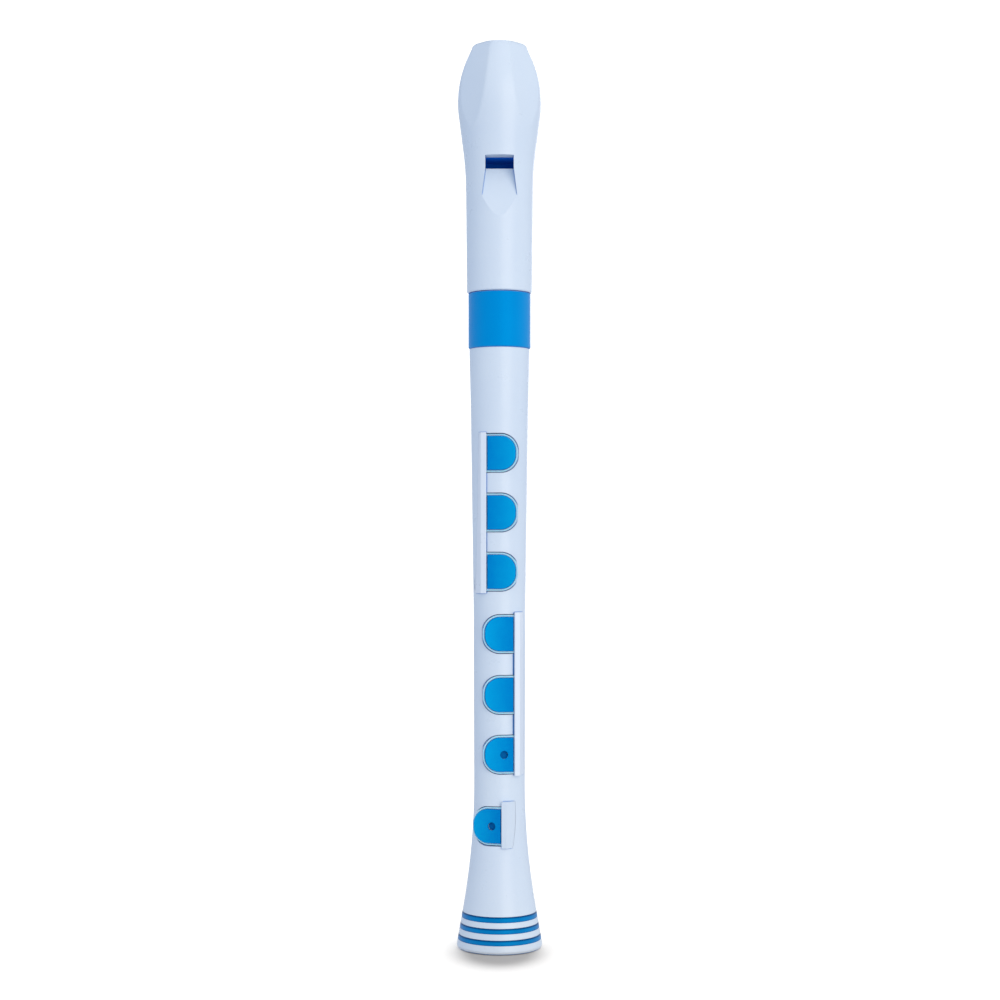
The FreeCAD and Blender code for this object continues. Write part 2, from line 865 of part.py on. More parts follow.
def make_windway():
    """The narrowing slot over the block, open at the tip and into the window."""
    slot = new_body("windway_slot")
    beyond = 2.0
    narrowing = (dim("window_width") - dim("windway_tip_width")) / 2
    run = dim("tip_height") - dim("window_top")
    tip_half = dim("windway_tip_width") / 2 - narrowing * beyond / run
    window_half = dim("window_width") / 2
    tip = dim("tip_height") + beyond
    outline = draw_outline(
        new_sketch(slot, "XZ_Plane", dim("block_flat")),
        [
            (-window_half, dim("window_top")),
            (window_half, dim("window_top")),
            (tip_half, tip),
            (-tip_half, tip),
        ],
    )
    add_pad(slot, outline, dim("windway_height"))
    return slot


def make_ramp():
    """The air over the labium's ramp, which splays and flattens out away from the edge."""
    base, foot = dim("window_base"), dim("window_base") - dim("ramp_length")
    top_half = dim("window_width") / 2
    foot_half = top_half + dim("ramp_splay") * dim("ramp_length")
    front_view = new_body("ramp_front")
    splay = [(-top_half, base), (-foot_half, foot), (foot_half, foot), (top_half, base)]
    add_pad(front_view, draw_outline(new_sketch(front_view, "XZ_Plane"), splay), 25)
    side_view = new_body("ramp_side")
    curve = [(-dim("labium_edge"), base), (-dim("ramp_end"), foot), (-25, foot), (-25, base)]
    arcs = {0: (dim("ramp_curve_radius"), True)}
    sketch = draw_outline(new_sketch(side_view, "YZ_Plane"), curve, arcs)
    add_pad(side_view, sketch, 40, midplane=True)
    ramp = DOC.addObject("Part::Common", "labium_ramp")
    ramp.Base = front_view
    ramp.Tool = side_view
    return ramp


def make_window():
    half = dim("window_width") / 2
    depth = 20.0
    corner = (-half, -dim("block_flat") - depth, dim("window_base"))
    span = (dim("window_width"), depth, dim("window_top") - dim("window_base"))
    return box("window", corner, span)


def make_head_shell():
    socket_depth = dim("socket_top") - dim("head_base") + 1
    socket = cylinder(
        "head_socket", dim("socket_radius"), socket_depth, (0, 0, dim("head_base") - 1)
    )
    bore_length = dim("block_skirt_base") - dim("socket_top") + 1
    bore = cylinder(
        "head_bore", dim("head_bore_radius"), bore_length, (0, 0, dim("socket_top") - 1)
    )
    block_bore = make_block_bore("block_bore", 70)
    cuts = [make_cheek(1), make_cheek(-1), make_beak_hollow("beak_hollow"), socket, bore]
    cuts += [block_bore, make_windway(), make_window(), make_ramp()]
    return cut("head_shell", make_head_blank(), fuse("head_cuts", cuts))


def make_windway_block():
    """The block under the windway, with a thin skirt behind the window down to its shoulder."""
    whole = make_block_bore("block_whole", dim("tip_height") - dim("block_skirt_base"))
    skirt_height = dim("window_top") - dim("block_skirt_base")
    base = dim("block_skirt_base")
    inside = cylinder("skirt_inside", dim("head_bore_radius"), skirt_height, (0, 0, base))
    reach = dim("block_radius") * 2
    front = (-dim("block_radius"), -dim("block_skirt_front") - reach, base)
    opening = box("skirt_front", front, (reach, reach, skirt_height))
    cuts = [inside, opening, make_beak_hollow("block_hollow")]
    return cut("windway_block", whole, fuse("block_cuts", cuts))


# ---- thumb rest ----


def make_thumb_saddle():
    """The plate that wraps the back of the tube, with rounded corners seen from behind."""
    plate = new_body("thumb_rest_plate")
    half, corner = dim("rest_width") / 2, dim("rest_corner")
    low, high = dim("rest_low"), dim("rest_high")
    outline = draw_outline(
        new_sketch(plate, "XZ_Plane"),
        [
            (corner - half, low),
            (half - corner, low),
            (half, low + corner),
            (half, high - corner),
            (half - corner, high),
            (corner - half, high),
            (-half, high - corner),
            (-half, low + corner),
        ],
        {side: (corner, True) for side in (1, 3, 5, 7)},
    )
    add_pad(plate, outline, dim("rest_reach"), downwards=True)
    length = high - low
    outside = cylinder("thumb_rest_outside", dim("rest_plate_radius"), length, (0, 0, low))
    saddle = DOC.addObject("Part::Common", "thumb_rest_saddle")
    saddle.Base = plate
    saddle.Tool = outside
    return saddle


def make_thumb_hook():
    """The ledge that the thumb bears up against, curved under where the thumb lies."""
    hook = new_body("thumb_rest_hook")
    reach, root = dim("rest_reach"), dim("rest_plate_radius") - 0.4
    top = dim("rest_high") - 1
    ledge = top - dim("rest_hook_thickness")
    bend = dim("rest_hook_radius")
    side_view = draw_outline(
        new_sketch(hook, "YZ_Plane"),
        [
            (root - 2, ledge - bend - 1),
            (root, ledge - bend),
            (reach, ledge),
            (reach, top - 0.3),
            (root - 2, top + 0.4),
        ],
        {1: (bend + 0.4, False)},
    )
    add_pad(hook, side_view, dim("rest_hook_width"), midplane=True)
    DOC.recompute()
    base = hook.Tip
    corners = [
        f"Edge{number}"
        for number, edge in enumerate(base.Shape.Edges, start=1)
        if edge.BoundBox.YMin > reach.value - 1e-4 and edge.BoundBox.XLength < 1e-4
    ]
    fillet = hook.newObject("PartDesign::Fillet", "thumb_rest_round")
    fillet.Base = (base, corners)
    bind(fillet, "Radius", dim("rest_hook_corner"))
    hook.Tip = fillet
    return hook


def make_thumb_rest(tube_blank):
    """A saddle on the back of the tube with a hook for the right thumb."""
    core_radius = dim("bore_wide_radius") + 0.5
    core_length = dim("rest_high") - dim("rest_low")
    core = cylinder("thumb_rest_core", core_radius, core_length, (0, 0, dim("rest_low")))
    whole = fuse("thumb_rest_whole", [make_thumb_saddle(), make_thumb_hook()])
    return cut("thumb_rest", whole, fuse("thumb_rest_tools", [tube_blank, core]))


# ---- the whole recorder ----


def check(objects):
    """Stops if anything failed to compute or a sub-part isn't one valid solid."""
    for thing in DOC.Objects:
        if "Invalid" in thing.State or "Error" in thing.State:
            raise RuntimeError(f"{thing.Label} did not compute: {thing.State}")
    for part in objects:
        shape = part.Shape
        if shape.isNull() or not shape.isValid() or len(shape.Solids) != 1:
            raise RuntimeError(f"{part.Label} is not one valid solid")
        print(f"{part.Label:18s} {shape.Volume:10.2f} mm3")


def main():
    rows = [
        KeyRow("upper", 0, 1, "upper_edge", "upper_floor", "upper_skirt", "upper_cover", [
            Key("key_1", "key_1_height", "hole_1_radius"),
            Key("key_2", "key_2_height", "hole_2_radius"),
            Key("key_3", "key_3_height", "hole_3_radius"),
        ]),
        KeyRow("lower", 0, -1, "lower_edge", "lower_floor", "lower_skirt", "lower_cover", [
            Key("key_4", "key_4_height", "hole_4_radius"),
            Key("key_5", "key_5_height", "hole_5_radius"),
            Key("key_6", "key_6_height", "hole_6_radius", "dimple_radius"),
        ]),
        KeyRow("foot", dim("foot_azimuth"), -1, "lower_edge", "lower_floor", "foot_skirt",
               "foot_cover", [Key("key_7", "key_7_height", "hole_7_radius", "dimple_radius")]),
        KeyRow("thumb", 180, 1, "upper_edge", "thumb_floor", "upper_skirt", "thumb_cover", [
            Key("thumb_key", "thumb_key_height", "thumb_hole_radius", vent="thumb_vent_radius"),
        ]),
    ]
    tube_blank = make_tube_blank()
    parts, tube_cuts = [], []
    for key_row in rows:
        tube_cuts.append(strip_box(key_row, f"{key_row.name}_tube_channel"))
        parts.append(make_cover(key_row, tube_blank))
        parts.append(make_strip(key_row))
        for key in key_row.keys:
            tube_cuts += make_recess(key_row, key)
            parts.append(make_flap(key_row, key))
    parts.append(cut("body_tube", tube_blank, fuse("tube_cuts", tube_cuts)))
    parts += [make_foot_ring(number) for number in (1, 2, 3)]
    parts.append(make_grip_band())
    parts.append(make_seal("seal_ring_lower", dim("seal_lower_height")))
    parts.append(make_seal("seal_ring_upper", dim("seal_upper_height")))
    parts.append(make_thumb_rest(tube_blank))
    parts += [make_head_shell(), make_windway_block()]
    DOC.recompute()
    check(parts)
    os.makedirs("parts", exist_ok=True)
    for part in parts:
        part.Shape.exportStep(f"parts/{part.Label}.step")


main()
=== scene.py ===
import json
import math

import bmesh
import bpy
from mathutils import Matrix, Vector
from mathutils.bvhtree import BVHTree


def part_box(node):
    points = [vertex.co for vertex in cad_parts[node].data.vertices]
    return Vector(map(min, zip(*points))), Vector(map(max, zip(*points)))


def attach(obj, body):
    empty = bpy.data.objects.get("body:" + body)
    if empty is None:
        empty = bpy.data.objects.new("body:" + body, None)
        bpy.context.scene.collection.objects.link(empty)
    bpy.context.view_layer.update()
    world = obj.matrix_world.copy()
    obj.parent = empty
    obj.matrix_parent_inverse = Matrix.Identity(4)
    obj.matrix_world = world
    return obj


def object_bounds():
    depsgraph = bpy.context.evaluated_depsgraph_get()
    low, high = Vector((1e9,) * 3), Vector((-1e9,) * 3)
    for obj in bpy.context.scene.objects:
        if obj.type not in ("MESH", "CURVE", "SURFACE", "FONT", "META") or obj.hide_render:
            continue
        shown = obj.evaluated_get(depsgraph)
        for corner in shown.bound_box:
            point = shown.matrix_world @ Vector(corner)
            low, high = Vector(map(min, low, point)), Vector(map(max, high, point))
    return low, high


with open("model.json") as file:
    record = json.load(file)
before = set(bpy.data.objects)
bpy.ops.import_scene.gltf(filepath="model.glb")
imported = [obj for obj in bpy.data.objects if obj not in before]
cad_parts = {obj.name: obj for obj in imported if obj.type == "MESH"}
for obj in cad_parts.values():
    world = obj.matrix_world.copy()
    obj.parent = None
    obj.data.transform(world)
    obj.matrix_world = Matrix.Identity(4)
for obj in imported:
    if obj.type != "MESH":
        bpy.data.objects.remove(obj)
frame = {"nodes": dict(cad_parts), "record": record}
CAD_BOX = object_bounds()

# A soprano recorder that stands on its foot, in metres. Its looks are materials that follow the
# model's own coordinates, with the mould's parting lines as the only pieces added to the CAD.
NODES = frame["nodes"]
MM = 0.001

# ---- colours, as linear red, green and blue ----

WHITE_LIGHT, WHITE_DARK = (0.745, 0.835, 0.935), (0.715, 0.81, 0.925)
# the covers' white: a lighter copy of the white plastic, painted light on their lands
COVER_PAINTED_LIGHT_HIGH, COVER_PAINTED_LIGHT_LOW = (0.83, 0.895, 0.99), (0.8, 0.875, 0.98)
BAND_LIGHT, BAND_DARK = (0.0, 0.30, 0.73), (0.0, 0.28, 0.70)
BLOCK_LIGHT, BLOCK_DARK = (0.003, 0.13, 0.55), (0.002, 0.115, 0.5)
# painted glow in the block, for light through the white shell
BLOCK_PAINTED_GLOW = (0.001, 0.02, 0.13)
RING_LIGHT, RING_DARK, RING_PAINTED_SHADE = (0.003, 0.23, 0.59), (0.002, 0.2, 0.53), (0.0, 0.06, 0.2)
RUBBER_BLOOM, RUBBER_BLACK = (0.045, 0.046, 0.05), (0.014, 0.014, 0.016)
BLUE_SHEEN = (0.0, 0.5, 1.0)
# painted shade in creases and narrow gaps, the white's tinted blue as painted bounce light from
# the blue parts
PAINTED_CREASE_SHADE_WHITE, PAINTED_CREASE_SHADE_BLUE = (0.2, 0.38, 0.74), (0.0, 0.09, 0.33)
# a silicone flap's face near its hinge, in painted shade, and at its free edge, in painted light;
# painted shade on its walls and dimples' floors, painted light on its flange, and its underside's
# own blue
FACE_PAINTED_SHADE_NEAR, FACE_PAINTED_LIGHT_FREE = (0.0, 0.235, 0.63), (0.002, 0.41, 0.79)
WALL_PAINTED_SHADE, FLANGE_PAINTED_LIGHT = (0.0, 0.15, 0.46), (0.58, 0.88, 1.0)
DEEP_PAINTED_SHADE, UNDER_BLUE = (0.003, 0.14, 0.42), (0.01, 0.3, 0.72)

# ---- heights and depths that the materials follow ----

OPENINGS = {o["name"]: o["box_m"] for o in frame["record"]["physics"]["openings"]}
WINDOW_TOP = OPENINGS["window"][1][2]
# the beak's cheeks grow softer above this height
CHEEK_BASE = 285.5 * MM
CHEEK_BLEND = 6 * MM
CHEEK_ROUND = 1.7 * MM
EDGE_ROUND = 0.16 * MM
TRIM_ROUND = 0.12 * MM
# how deep under a pad's face a flap's other surfaces begin, each with its blend
WALL_DEPTH = (0.05 * MM, 0.16 * MM)
FLANGE_DEPTH = (0.8 * MM, 0.88 * MM)
DIMPLE_DEPTH = (1.08 * MM, 1.16 * MM)
UNDERSIDE_DEPTH = (1.38 * MM, 1.46 * MM)
# where a flap's face starts and ends across the tube, from the bore's line
FACE_SPAN = (-5 * MM, 6.2 * MM)

# ---- shader graphs ----


def new_tree(material):
    """An empty node tree with an output, for a material or the world."""
    material.use_nodes = True
    material.node_tree.nodes.clear()
    return material.node_tree


def node(tree, kind, inputs=None, **settings):
    """Adds a node; an input is linked where its value is a socket and set where it is a number."""
    made = tree.nodes.new(kind)
    for name, value in settings.items():
        setattr(made, name, value)
    for name, value in (inputs or {}).items():
        socket = made.inputs[name]
        if isinstance(value, bpy.types.NodeSocket):
            tree.links.new(value, socket)
        else:
            socket.default_value = value
    return made


def place_of(tree, stretch=(1, 1, 1), shift=(0, 0, 0)):
    """Each point's place in the model, in metres, stretched along the axes and then shifted."""
    coords = node(tree, "ShaderNodeTexCoord").outputs["Object"]
    inputs = {"Vector": coords, "Scale": stretch, "Location": shift}
    return node(tree, "ShaderNodeMapping", inputs).outputs[0]


def noise_at(tree, size, place=None, detail=2.0, roughness=0.5):
    """Noise with features of about that size in metres, from 0 to 1."""
    made = node(
        tree,
        "ShaderNodeTexNoise",
        {
            "Vector": place or place_of(tree),
            "Scale": 1 / size,
            "Detail": detail,
            "Roughness": roughness,
        },
    )
    return made.outputs["Fac"]


def length_of(tree, place):
    """How far a place is from the origin, in metres."""
    return node(tree, "ShaderNodeVectorMath", {0: place}, operation="LENGTH").outputs["Value"]


def remap(tree, value, from_range, to_range, smooth=False):
    """Carries a value over from one range to another, and holds it there at both ends."""
    return node(
        tree,
        "ShaderNodeMapRange",
        {
            "Value": value,
            "From Min": from_range[0],
            "From Max": from_range[1],
            "To Min": to_range[0],
            "To Max": to_range[1],
        },
        interpolation_type="SMOOTHSTEP" if smooth else "LINEAR",
    ).outputs[0]


def blend_colours(tree, factor, low, high):
    """The low colour where the factor is 0 and the high one where it is 1."""
    made = node(tree, "ShaderNodeMix", data_type="RGBA")
    sockets = [s for s in made.inputs if s.enabled]
    for socket, value in zip(sockets, (factor, low, high)):
        if isinstance(value, bpy.types.NodeSocket):
            tree.links.new(value, socket)
        else:
            socket.default_value = (*value, 1.0) if isinstance(value, tuple) else value
    return next(s for s in made.outputs if s.enabled)


def dot(tree, place, direction):
    """How far a place reaches along a direction, in metres."""
    inputs = {0: place, 1: tuple(direction)}
    made = node(tree, "ShaderNodeVectorMath", inputs, operation="DOT_PRODUCT")
    return made.outputs["Value"]


def bump(tree, height, depth, under=None):
    """Raises the surface by height times depth in metres, on top of the normal under it."""
    inputs = {"Height": height, "Distance": depth}
    if under:
        inputs["Normal"] = under
    return node(tree, "ShaderNodeBump", inputs).outputs[0]


def crease_at(tree, reach, spread):
    """How far a place is shut in by what stands within reach: 0 in the open, 1 in a crease."""
    inputs = {"Distance": reach}
    shut = node(tree, "ShaderNodeAmbientOcclusion", inputs, samples=8).outputs["AO"]
    return remap(tree, shut, spread, (0, 1), smooth=True)


def finish_material(tree, colour, roughness, normal, extra=None, **constants):
    """Ends a graph in a Principled shader, whose constants go straight into its own sockets."""
    shader = node(
        tree,
        "ShaderNodeBsdfPrincipled",
        {"Base Color": colour, "Roughness": roughness, "Normal": normal, **(extra or {})},
    )
    for name, value in constants.items():
        shader.inputs[name.replace("_", " ")].default_value = value
    out = node(tree, "ShaderNodeOutputMaterial")
    tree.links.new(shader.outputs[0], out.inputs["Surface"])


# ---- materials ----


def moulded_plastic(name, light, dark, gloss, edge, sheen=(1, 1, 1), soft_above=None):
    """Injection-moulded plastic: slow tone drift, spark-eroded grain, faint flow marks and painted
    shade in its creases.

    Edges read as rounded by the radius edge, and more softly above the height soft_above.
    """
    material = bpy.data.materials.new(name)
    tree = new_tree(material)
    drift = remap(tree, noise_at(tree, 26 * MM, detail=3), (0.35, 0.65), (0, 1))
    along = place_of(tree, (1, 1, 0.12))
    flow = noise_at(tree, 1.6 * MM, along, detail=3)
    colour = blend_colours(tree, drift, dark, light)
    # painted shade in creases and gaps, tinted blue for painted bounce light
    crease = crease_at(tree, 0.5 * MM, (0.92, 0.6))
    colour = blend_colours(tree, crease, colour, PAINTED_CREASE_SHADE_WHITE)
    grain = noise_at(tree, 0.16 * MM, detail=3, roughness=0.6)
    handling = noise_at(tree, 7 * MM, detail=4, roughness=0.65)
    roughness = remap(tree, handling, (0.3, 0.75), (gloss, gloss + 0.12))
    radius = edge
    if soft_above:
        height = dot(tree, place_of(tree), (0, 0, 1))
        span = (soft_above, soft_above + CHEEK_BLEND)
        radius = remap(tree, height, span, (edge, CHEEK_ROUND), smooth=True)
    rounded = node(tree, "ShaderNodeBevel", {"Radius": radius}, samples=8).outputs[0]
    waves = bump(tree, flow, 0.004 * MM, rounded)
    normal = bump(tree, grain, 0.0035 * MM, waves)
    finish_material(
        tree,
        colour,
        roughness,
        normal,
        Subsurface_Weight=0.06,
        Subsurface_Radius=(1.0, 1.0, 1.0),
        Subsurface_Scale=0.6 * MM,
        Specular_Tint=(*sheen, 1),
        IOR=1.49,
    )
    return material


def block_plastic():
    """The block's blue plastic, with a painted glow that stands in for the light the thin white
    shell lets through to it.
    """
    material = bpy.data.materials.new("block_blue_plastic")
    tree = new_tree(material)
    front = dot(tree, place_of(tree), (0, -1, 0))
    reach = remap(tree, front, (-3 * MM, 5.6 * MM), (0.25, 1), smooth=True)
    height = dot(tree, place_of(tree), (0, 0, 1))
    lit = remap(tree, height, (WINDOW_TOP + 1 * MM, WINDOW_TOP + 8 * MM), (1, 0), smooth=True)
    reach = node(tree, "ShaderNodeMath", {0: reach, 1: lit}, operation="MULTIPLY").outputs[0]
    drift = remap(tree, noise_at(tree, 6 * MM, detail=3), (0.35, 0.65), (0, 1))
    colour = blend_colours(tree, drift, BLOCK_DARK, BLOCK_LIGHT)
    # painted glow: emission strongest at the block's front, low by the window
    glow = blend_colours(tree, reach, (0.0, 0.0, 0.0), BLOCK_PAINTED_GLOW)
    roughness = remap(tree, noise_at(tree, 2 * MM, detail=4), (0.3, 0.75), (0.3, 0.44))
    normal = bump(tree, noise_at(tree, 0.12 * MM), 0.004 * MM)
    finish_material(
        tree,
        colour,
        roughness,
        normal,
        {"Emission Color": glow},
        Emission_Strength=1.0,
        Specular_Tint=(*BLUE_SHEEN, 1),
        IOR=1.49,
    )
    return material


def ring_plastic(name, low, high):
    """The plastic of a ring from low to high, with painted shade at its edges, darkest under its
    groove's upper edge.
    """
    material = bpy.data.materials.new(name)
    tree = new_tree(material)
    height = dot(tree, place_of(tree), (0, 0, 1))
    # painted shade: dark along the top edge and fainter along the foot
    top = remap(tree, height, (high - 0.8 * MM, high - 0.25 * MM), (0, 1), smooth=True)
    foot = remap(tree, height, (low + 0.4 * MM, low), (0, 0.55), smooth=True)
    edge = node(tree, "ShaderNodeMath", {0: top, 1: foot}, operation="ADD", use_clamp=True)
    drift = remap(tree, noise_at(tree, 6 * MM, detail=3), (0.35, 0.65), (0, 1))
    middle = blend_colours(tree, drift, RING_DARK, RING_LIGHT)
    colour = blend_colours(tree, edge.outputs[0], middle, RING_PAINTED_SHADE)
    roughness = remap(tree, noise_at(tree, 2 * MM, detail=4), (0.3, 0.75), (0.26, 0.4))
    normal = bump(tree, noise_at(tree, 0.12 * MM), 0.003 * MM)
    finish_material(tree, colour, roughness, normal, Specular_Tint=(*BLUE_SHEEN, 1), IOR=1.49)
    return material


def silicone(name, row, example):
    """Silicone rubber, coloured by depth with painted light and shade.

    The flaps of one row lie in one plane, so a place's depth below the pads' faces tells the
    face, the pads' walls, the thin flange, the dimples' floors and the underside apart: painted
    shade on the walls and dimples' floors, painted light on the flange, the underside's own blue.
    The face grows lighter towards its free edge, painted light where the silicone is thin, and
    darker by the hinge, painted shade from the cover. The example is the node of one flap in the
    row.
    """
    material = bpy.data.materials.new(name)
    tree = new_tree(material)
    place = place_of(tree)
    across, out = ACROSS[row], OUT[row]
    lift = Vector(out) * math.cos(REST_ANGLE) - Vector(across) * math.sin(REST_ANGLE)
    top = max(lift.dot(v.co) for v in NODES[example].data.vertices)
    height = dot(tree, place, lift)
    under = node(tree, "ShaderNodeMath", {0: top, 1: height}, operation="SUBTRACT")
    depth = under.outputs[0]
    mottle = noise_at(tree, 3 * MM, detail=3)
    gradient = remap(tree, dot(tree, place, across), FACE_SPAN, (0, 1))
    shade = node(
        tree,
        "ShaderNodeMath",
        {0: gradient, 1: remap(tree, mottle, (0.3, 0.7), (-0.06, 0.06))},
        operation="ADD",
        use_clamp=True,
    ).outputs[0]
    # painted light and shade across the face: darker by the hinge, lighter at the free edge
    colour = blend_colours(tree, shade, FACE_PAINTED_SHADE_NEAR, FACE_PAINTED_LIGHT_FREE)
    # painted shade on the walls and dimples, painted light on the flange, the underside's own blue
    for band, below in (
        (WALL_DEPTH, WALL_PAINTED_SHADE),
        (FLANGE_DEPTH, FLANGE_PAINTED_LIGHT),
        (DIMPLE_DEPTH, DEEP_PAINTED_SHADE),
        (UNDERSIDE_DEPTH, UNDER_BLUE),
    ):
        colour = blend_colours(tree, remap(tree, depth, band, (0, 1)), colour, below)
    # painted shade in the flap's creases
    crease = crease_at(tree, 0.35 * MM, (0.8, 0.5))
    colour = blend_colours(tree, crease, colour, PAINTED_CREASE_SHADE_BLUE)
    grain = noise_at(tree, 0.11 * MM, detail=2)
    handling = noise_at(tree, 2.5 * MM, detail=4)
    roughness = remap(tree, handling, (0.3, 0.75), (0.36, 0.5))
    normal = bump(tree, grain, 0.004 * MM)
    finish_material(
        tree,
        colour,
        roughness,
        normal,
        Subsurface_Weight=0.3,
        Subsurface_Radius=(0.3, 0.8, 1.0),
        Subsurface_Scale=0.6 * MM,
        Specular_Tint=(*BLUE_SHEEN, 1),
        IOR=1.42,
    )
    return material


def seal_rubber():
    """Matt black rubber with the bloom and the thin grease of a joint's O-ring."""
    material = bpy.data.materials.new("seal_rubber")
    tree = new_tree(material)
    bloom = remap(tree, noise_at(tree, 1.2 * MM, detail=4), (0.45, 0.75), (0, 1))
    colour = blend_colours(tree, bloom, RUBBER_BLACK, RUBBER_BLOOM)
    roughness = remap(tree, bloom, (0, 1), (0.32, 0.62))
    normal = bump(tree, noise_at(tree, 0.09 * MM), 0.006 * MM)
    finish_material(tree, colour, roughness, normal, IOR=1.52)
    return material


WHITE = moulded_plastic("white_plastic", WHITE_LIGHT, WHITE_DARK, 0.26, EDGE_ROUND)
HEAD_WHITE = moulded_plastic(
    "head_white_plastic", WHITE_LIGHT, WHITE_DARK, 0.26, EDGE_ROUND, soft_above=CHEEK_BASE
)
# painted light: the covers take a lighter copy of the white plastic
COVER_PAINTED_LIGHT = moulded_plastic("cover_white_painted_light", COVER_PAINTED_LIGHT_HIGH, COVER_PAINTED_LIGHT_LOW, 0.26, TRIM_ROUND)
BAND_BLUE = moulded_plastic(
    "band_blue_plastic", BAND_LIGHT, BAND_DARK, 0.3, TRIM_ROUND, BLUE_SHEEN
)
BLOCK_BLUE = block_plastic()
RUBBER = seal_rubber()

# each row's directions: across the tube from the hinge to the free edge, and straight out
FOOT_TURN = math.radians(-27)
ACROSS = {
    "upper": (1, 0, 0),
    "lower": (-1, 0, 0),
    "foot": (-math.cos(FOOT_TURN), -math.sin(FOOT_TURN), 0),
    "thumb": (-1, 0, 0),
}
OUT = {
    "upper": (0, -1, 0),
    "lower": (0, -1, 0),
    "foot": (math.sin(FOOT_TURN), -math.cos(FOOT_TURN), 0),
    "thumb": (0, 1, 0),
}
REST_ANGLE = math.radians(8)
KEYS = {
    "upper": ("key_1", "key_2", "key_3"),
    "lower": ("key_4", "key_5", "key_6"),
    "foot": ("key_7",),
    "thumb": ("thumb_key",),
}
SILICONE = {row: silicone(f"{row}_silicone", row, keys[0]) for row, keys in KEYS.items()}
ROW_OF_KEY = {key: row for row, keys in KEYS.items() for key in keys}


def finish_of(name):
    """The material of a CAD node."""
    if name in ROW_OF_KEY:
        return SILICONE[ROW_OF_KEY[name]]
    if name.endswith("_key_strip"):
        return SILICONE[name.removesuffix("_key_strip")]
    if name.startswith("seal_ring"):
        return RUBBER
    if name.startswith("foot_ring"):
        low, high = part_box(name)
        return ring_plastic(f"{name}_plastic", low[2], high[2])
    if name == "head_shell":
        return HEAD_WHITE
    if name in ("upper_key_cover", "lower_key_cover"):
        return COVER_PAINTED_LIGHT
    return {"grip_band": BAND_BLUE, "windway_block": BLOCK_BLUE}.get(name, WHITE)


for name, part in NODES.items():
    part.data.materials.clear()
    part.data.materials.append(finish_of(name))

# ---- parting lines ----

SEAM_HALF_WIDTH = 0.09 * MM
SEAM_HEIGHT = 0.035 * MM
SEAM_STEP = 1.2 * MM
# across in half widths and up in heights: a low ridge with its feet sunk into the skin
SEAM_SECTION = ((-1, -0.4), (-0.35, 1), (0.35, 1), (1, -0.4))
SEAM_RAY_START = 50 * MM
RING_MARGIN = 0.15 * MM
FOOT_MARGIN = 1.6 * MM
BAND_MARGIN = 0.2 * MM
HEAD_MARGIN = 0.6 * MM
BEAK_MARGIN = 3.5 * MM


def skin_of(name):
    """A CAD node's surface, ready for casting rays at it."""
    mesh = NODES[name].data
    return BVHTree.FromPolygons(
        [v.co for v in mesh.vertices], [list(p.vertices) for p in mesh.polygons]
    )


def seam(name, skin, side, low, high):
    """The fine raised line that a mould's parting leaves down one side of a tube."""
    count = max(2, round((high - low) / SEAM_STEP))
    rows = []
    for number in range(count + 1):
        height = low + (high - low) * number / count
        row = []
        for across, lift in SEAM_SECTION:
            start = Vector((side * SEAM_RAY_START, across * SEAM_HALF_WIDTH, height))
            hit = skin.ray_cast(start, Vector((-side, 0, 0)))[0]
            row.append(hit + Vector((side, 0, 0)) * lift * SEAM_HEIGHT)
        rows.append(row)
    mesh = bpy.data.meshes.new(name)
    shape = bmesh.new()
    loops = [[shape.verts.new(place) for place in row] for row in rows]
    for below, above in zip(loops, loops[1:]):
        for one in range(3):
            corners = (below[one], below[one + 1], above[one + 1], above[one])
            shape.faces.new(corners if side > 0 else corners[::-1])
        corners = (below[3], below[0], above[0], above[3])
        shape.faces.new(corners if side > 0 else corners[::-1])
    shape.faces.new(loops[0] if side < 0 else loops[0][::-1])
    shape.faces.new(loops[-1] if side > 0 else loops[-1][::-1])
    bmesh.ops.recalc_face_normals(shape, faces=shape.faces)
    shape.to_mesh(mesh)
    shape.free()
    made = bpy.data.objects.new(name, mesh)
    bpy.context.scene.collection.objects.link(made)
    made.data.materials.append(WHITE)
    return made


def add_seams():
    """Parting lines down both sides of the body and the head, broken where a ring sits."""
    rings = sorted((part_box(f"foot_ring_{n}") for n in (1, 2, 3)), key=lambda box: box[0].z)
    band_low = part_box("grip_band")[0].z
    head_low, head_high = (corner.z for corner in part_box("head_shell"))
    starts = [FOOT_MARGIN] + [high.z + RING_MARGIN for _, high in rings]
    ends = [low.z - RING_MARGIN for low, _ in rings] + [band_low - BAND_MARGIN]
    runs = [("body_tube", "body", low, high) for low, high in zip(starts, ends)]
    runs.append(("head_shell", "head", head_low + HEAD_MARGIN, head_high - BEAK_MARGIN))
    for number, (node_name, body, low, high) in enumerate(runs, start=1):
        skin = skin_of(node_name)
        for side, label in ((1, "right"), (-1, "left")):
            line = seam(f"parting_line_{number}_{label}", skin, side, low, high)
            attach(line, body)


add_seams()

# ---- the studio ----

FLOOR_RADIUS = 0.3
BEYOND_RADIUS, BEYOND_HEIGHT = 7.0, -0.5 * MM
DOME_RADIUS = 6.9
# the board fades out between these distances from the foot, and its painted shadow between those
BOARD_FADE = (0.05, 0.26)
SHADE_EDGE, SHADE_CORE = (0.012, 0.03), (0.011, 0.024)
SHADE_STRETCH, SHADE_SHIFT = (1.25, 0.8, 1), (0, 8 * MM, 0)
BOARD_WARM, BOARD_PALE = (0.95, 0.87, 0.77), (0.97, 0.89, 0.79)
PAINTED_SHADOW_COLOUR = (0.57, 0.52, 0.46)
KEY_COLOUR, BACK_COLOUR = (1.0, 0.9, 0.74), (1.0, 0.92, 0.8)
CAMERA_DISTANCE, CAMERA_HEIGHT = 0.6936, 0.1475


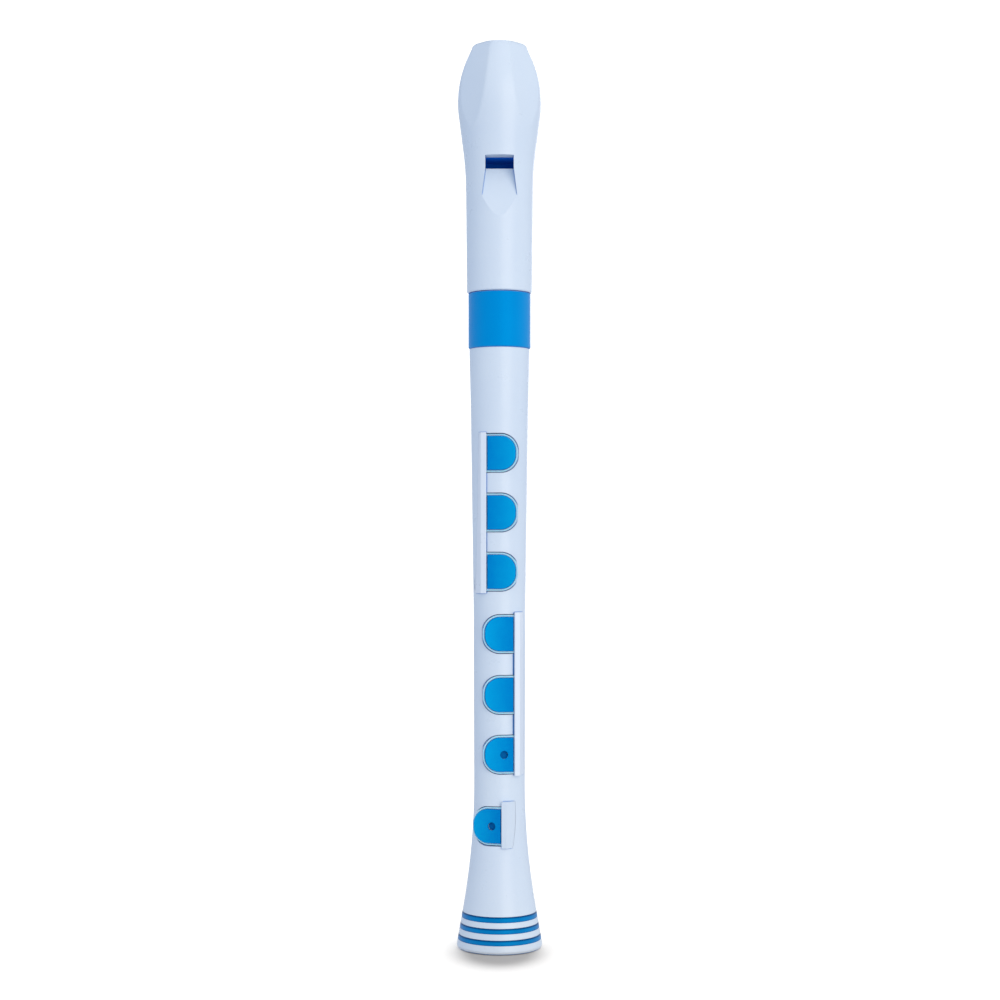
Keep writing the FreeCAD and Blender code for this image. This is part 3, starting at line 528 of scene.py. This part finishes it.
def stage_disc(name, radius, height, material):
    """A round board round the foot, at that height."""
    mesh = bpy.data.meshes.new(name)
    shape = bmesh.new()
    bmesh.ops.create_circle(shape, cap_ends=True, radius=radius, segments=96)
    bmesh.ops.translate(shape, verts=shape.verts, vec=(0, 0, height))
    shape.to_mesh(mesh)
    shape.free()
    made = bpy.data.objects.new(name, mesh)
    bpy.context.scene.collection.objects.link(made)
    made.data.materials.append(material)
    return made


def seen_only(thing):
    """Lets the camera see a thing that adds no light, shadow or reflection of its own."""
    thing.visible_diffuse = False
    thing.visible_glossy = False
    thing.visible_transmission = False
    thing.visible_volume_scatter = False
    thing.visible_shadow = False


def white_glow():
    """The plain white of the studio round the object."""
    material = bpy.data.materials.new("studio_white")
    tree = new_tree(material)
    glow = node(tree, "ShaderNodeEmission", {"Color": (1, 1, 1, 1), "Strength": 1.3})
    out = node(tree, "ShaderNodeOutputMaterial")
    tree.links.new(glow.outputs[0], out.inputs["Surface"])
    return material


def board_material():
    """A matt white board, half lost in the white below it, with a painted shadow at the foot."""
    material = bpy.data.materials.new("floor_board")
    tree = new_tree(material)
    away = length_of(tree, place_of(tree))
    fade = remap(tree, away, BOARD_FADE, (0.62, 1), smooth=True)
    # painted shadow round the foot, pushed forward and stretched across
    near = length_of(tree, place_of(tree, SHADE_STRETCH, SHADE_SHIFT))
    shade = remap(tree, near, SHADE_EDGE, (0.06, 1), smooth=True)
    clear_part = node(tree, "ShaderNodeMath", {0: fade, 1: shade}, operation="MULTIPLY")
    depth = remap(tree, near, SHADE_CORE, (0, 1), smooth=True)
    tone = noise_at(tree, 0.05, detail=2)
    open_board = blend_colours(tree, tone, BOARD_WARM, BOARD_PALE)
    colour = blend_colours(tree, depth, PAINTED_SHADOW_COLOUR, open_board)
    board = node(tree, "ShaderNodeBsdfDiffuse", {"Color": colour})
    clear = node(tree, "ShaderNodeBsdfTransparent")
    mix = node(tree, "ShaderNodeMixShader", {"Fac": clear_part.outputs[0]})
    tree.links.new(board.outputs[0], mix.inputs[1])
    tree.links.new(clear.outputs[0], mix.inputs[2])
    out = node(tree, "ShaderNodeOutputMaterial")
    tree.links.new(mix.outputs[0], out.inputs["Surface"])
    return material


STUDIO_WHITE = white_glow()
stage_disc("floor", FLOOR_RADIUS, 0.0, board_material())
seen_only(stage_disc("floor_beyond", BEYOND_RADIUS, BEYOND_HEIGHT, STUDIO_WHITE))


def backdrop():
    """A white dome round the studio."""
    mesh = bpy.data.meshes.new("backdrop")
    shape = bmesh.new()
    bmesh.ops.create_uvsphere(shape, u_segments=64, v_segments=32, radius=DOME_RADIUS)
    shape.to_mesh(mesh)
    shape.free()
    made = bpy.data.objects.new("backdrop", mesh)
    bpy.context.scene.collection.objects.link(made)
    made.data.materials.append(STUDIO_WHITE)
    seen_only(made)


backdrop()

world = bpy.data.worlds.new("studio")
bpy.context.scene.world = world
world_tree = new_tree(world)
air = node(
    world_tree, "ShaderNodeBackground", {"Color": (0.745, 0.83, 0.982, 1), "Strength": 0.76}
)
sky = node(world_tree, "ShaderNodeOutputWorld")
world_tree.links.new(air.outputs[0], sky.inputs["Surface"])


def softbox(name, place, aim, size, watts, colour=(1, 1, 1)):
    """A soft rectangular light that looks at a point and isn't seen itself."""
    lamp = bpy.data.lights.new(name, "AREA")
    lamp.shape = "RECTANGLE"
    lamp.size, lamp.size_y = size
    lamp.energy = watts
    lamp.color = colour
    made = bpy.data.objects.new(name, lamp)
    bpy.context.scene.collection.objects.link(made)
    made.visible_camera = False
    made.location = place
    made.rotation_euler = (Vector(aim) - Vector(place)).to_track_quat("-Z", "Y").to_euler()
    return made


middle = (CAD_BOX[0] + CAD_BOX[1]) / 2
softbox("key_light", (0.62, -1.25, 0.5), middle, (1.0, 1.3), 8.1, KEY_COLOUR)
softbox("top_light", (0.2, -0.2, 1.6), middle, (1.2, 1.2), 1.5)
softbox("back_light", (0.15, 1.35, 0.6), middle, (1.0, 1.2), 4.5, BACK_COLOUR)

lens = bpy.data.cameras.new("camera")
lens.sensor_width = 36
lens.lens = 69.2
lens.shift_x = 0.0005
lens.shift_y = 0.038
lens.clip_start = 0.01
lens.clip_end = 50
camera = bpy.data.objects.new("camera", lens)
bpy.context.scene.collection.objects.link(camera)
camera.location = (0, -CAMERA_DISTANCE, CAMERA_HEIGHT)
camera.rotation_euler = (math.radians(90), 0, 0)
bpy.context.scene.camera = camera
bpy.context.scene.view_settings.view_transform = "Standard"
